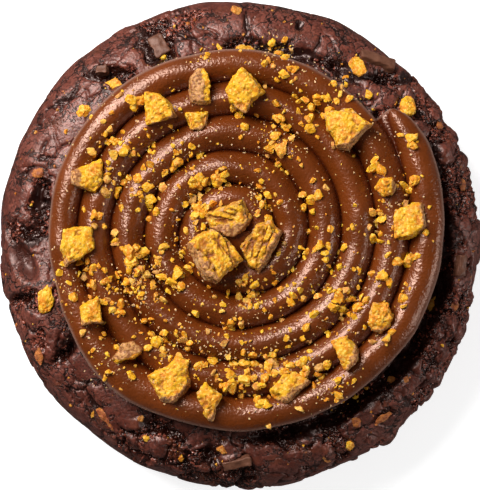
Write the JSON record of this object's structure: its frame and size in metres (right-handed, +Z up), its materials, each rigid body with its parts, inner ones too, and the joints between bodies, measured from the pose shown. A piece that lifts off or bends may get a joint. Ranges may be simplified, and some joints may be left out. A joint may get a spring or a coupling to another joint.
{
  "type": "chocolate cookie",
  "caption": "Thick round chocolate cookie with a cracked crust, a piped chocolate spiral on its top and broken aerated toffee pieces and crumbs scattered over it.",
  "frame": {"origin": "centre of the flat underside, on the surface that the cookie lies on", "axes": "+Z up out of the decorated top; +X to the right and +Y away from the viewer when looking down on the top"},
  "size_m": [0.1101, 0.1113, 0.0357],
  "materials": {
    "dough": "baked chocolate dough with a dull cracked crust",
    "ganache": "piped milk chocolate ganache with a soft satin gloss",
    "toffee": "broken aerated toffee, porous and golden"
  },
  "bodies": {
    "root": {"cookie": "dough", "swirl": "ganache", "toffee_01": "toffee", "toffee_02": "toffee", "toffee_03": "toffee", "toffee_04": "toffee", "toffee_05": "toffee", "toffee_06": "toffee", "toffee_07": "toffee", "toffee_08": "toffee", "toffee_09": "toffee", "toffee_10": "toffee", "toffee_11": "toffee", "toffee_12": "toffee", "toffee_13": "toffee", "toffee_14": "toffee", "toffee_15": "toffee", "toffee_16": "toffee", "toffee_17": "toffee", "toffee_18": "toffee", "toffee_19": "toffee"}
  },
  "joints": []
}
